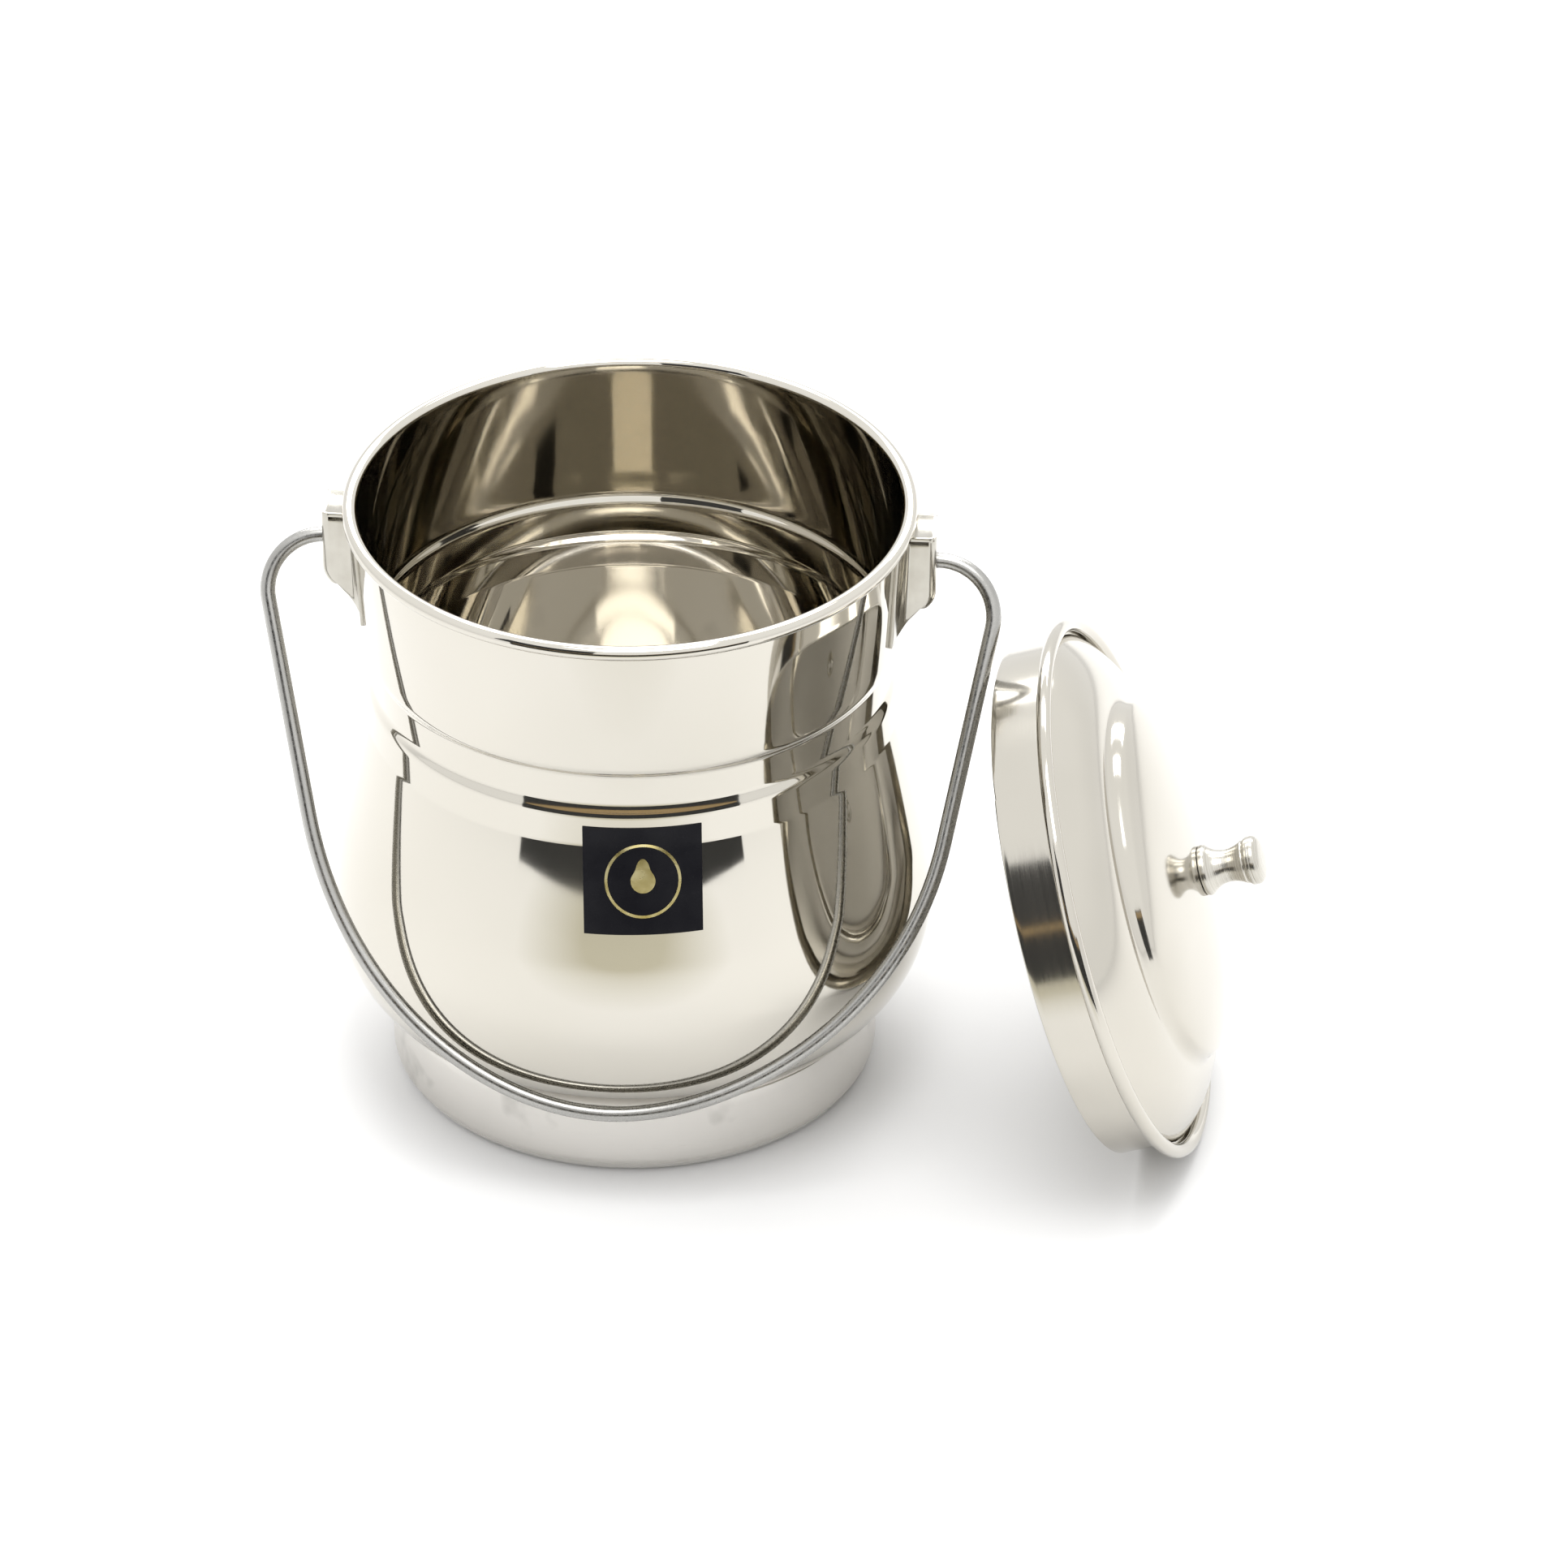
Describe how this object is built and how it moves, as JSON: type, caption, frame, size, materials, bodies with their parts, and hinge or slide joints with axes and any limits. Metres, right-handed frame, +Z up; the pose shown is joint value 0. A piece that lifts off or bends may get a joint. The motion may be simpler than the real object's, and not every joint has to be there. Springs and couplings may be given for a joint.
{
  "type": "milk can",
  "caption": "Pot-bellied steel milk can with a rolled rim, a raised foot and a swinging wire bail, and its domed, knobbed lid standing on edge beside it.",
  "frame": {"origin": "centre of the flat underside of the foot, on the can's axis", "axes": "+Z up along the can's axis, +X along the bail's pivot axis towards the side where the lid stands, -Y the labelled front"},
  "size_m": [0.248, 0.162, 0.1585],
  "materials": {
    "polished_steel": "mirror polish",
    "satin_steel": "satin",
    "ear_steel": "bright, slightly soft",
    "drawn_wire": "dull drawn wire with bright scratches",
    "label_black": "gloss",
    "lid_polish": "polish with fine turning lines",
    "turned_steel": "fine lathe rings",
    "screw_steel": "plain"
  },
  "bodies": {
    "can": {"body_shell": "polished_steel", "foot_cup": "satin_steel", "right_ear": "ear_steel", "left_ear": "ear_steel", "front_label": "label_black"},
    "bail": {"bail_wire": "drawn_wire"},
    "lid": {"lid_shell": "lid_polish", "lid_skirt": "lid_polish", "lid_knob": "turned_steel", "knob_screw": "screw_steel"}
  },
  "joints": [
    {"name": "bail_swing", "type": "hinge", "parent": "can", "child": "bail", "pos_m": [0, 0, 0.1447], "axis": [-1, 0, 0], "range_deg": [0, 297]},
    {"name": "lid_lift", "type": "slide", "parent": "can", "child": "lid", "axis": [0, 0, 1], "range_m": [0, 0.165]}
  ]
}
